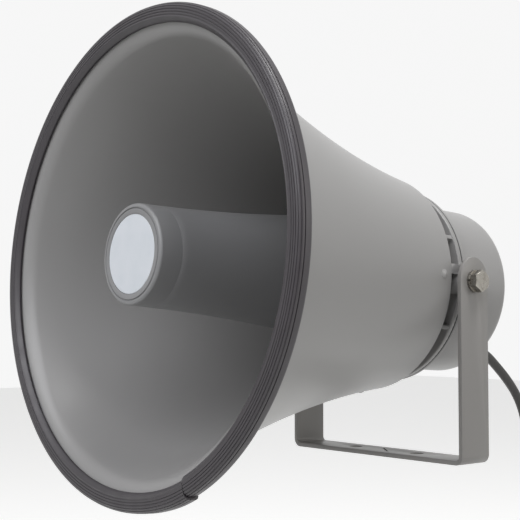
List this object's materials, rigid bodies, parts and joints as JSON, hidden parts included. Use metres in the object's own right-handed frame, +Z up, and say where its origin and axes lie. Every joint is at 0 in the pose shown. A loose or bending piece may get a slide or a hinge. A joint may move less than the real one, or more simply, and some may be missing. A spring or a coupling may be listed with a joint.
{
  "type": "pa horn speaker",
  "caption": "Round flared horn loudspeaker with a folded sound path, rubber rim trim, central nose, rear driver housing, tilting U-bracket and a coiled black lead.",
  "frame": {"origin": "middle of the bracket foot's lower face, midway between its two holes", "axes": "+Z up from the foot through the tilt axis, the mouth faces -Y, the tilt axis runs along X"},
  "size_m": [0.305, 0.4226, 0.4522],
  "materials": {
    "horn_paint": "satin light grey-beige paint",
    "bracket_paint": "satin light grey paint on steel strip",
    "trim_rubber": "dull dark warm-grey rubber",
    "reflector_plastic": "satin moulded plastic in the horn's colour",
    "label_white": "bare white disc",
    "throat_plastic": "dark moulded plastic",
    "bolt_zinc": "bright zinc with a slight warm tint",
    "screw_steel": "zinc-plated steel",
    "washer_fibre": "dark vulcanised fibre",
    "insert_brass": "plain brass",
    "seal_rubber": "black sealing rubber",
    "plate_steel": "plated mild steel",
    "magnet_ferrite": "dark grey ferrite",
    "diaphragm_metal": "thin formed aluminium",
    "coil_copper": "enamelled copper wire",
    "core_iron": "stacked iron sheets",
    "gland_plastic": "black nylon",
    "cord_sheath": "black flexible sheath",
    "tie_plastic": "black nylon band",
    "lead_tinned": "insulated leads with tinned tips"
  },
  "bodies": {
    "bracket": {"bracket": "bracket_paint"},
    "horn": {"bell": "horn_paint", "rear_base": "horn_paint", "rear_cover": "horn_paint", "bell_rivets": "horn_paint", "rim_trim": "trim_rubber", "reflector": "reflector_plastic", "nose_cap": "reflector_plastic", "label_plate": "label_white", "throat_tube": "throat_plastic", "phase_plug": "throat_plastic", "tilt_bolts": "bolt_zinc", "spring_washers": "bolt_zinc", "cover_screws": "screw_steel", "driver_screws": "screw_steel", "friction_washers": "washer_fibre", "boss_inserts": "insert_brass", "cover_gasket": "seal_rubber", "driver_top_plate": "plate_steel", "driver_back_plate": "plate_steel", "driver_magnet": "magnet_ferrite", "diaphragm": "diaphragm_metal", "voice_coil": "coil_copper", "transformer_winding": "coil_copper", "transformer_core": "core_iron", "cable_gland": "gland_plastic", "gland_locknut": "gland_plastic", "cord": "cord_sheath", "cord_coil": "cord_sheath", "cord_tie": "tie_plastic", "cord_leads": "lead_tinned"}
  },
  "joints": [
    {"name": "tilt", "type": "hinge", "parent": "bracket", "child": "horn", "pos_m": [0, 0, 0.1209], "axis": [1, 0, 0], "range_deg": [-45, 34]}
  ]
}
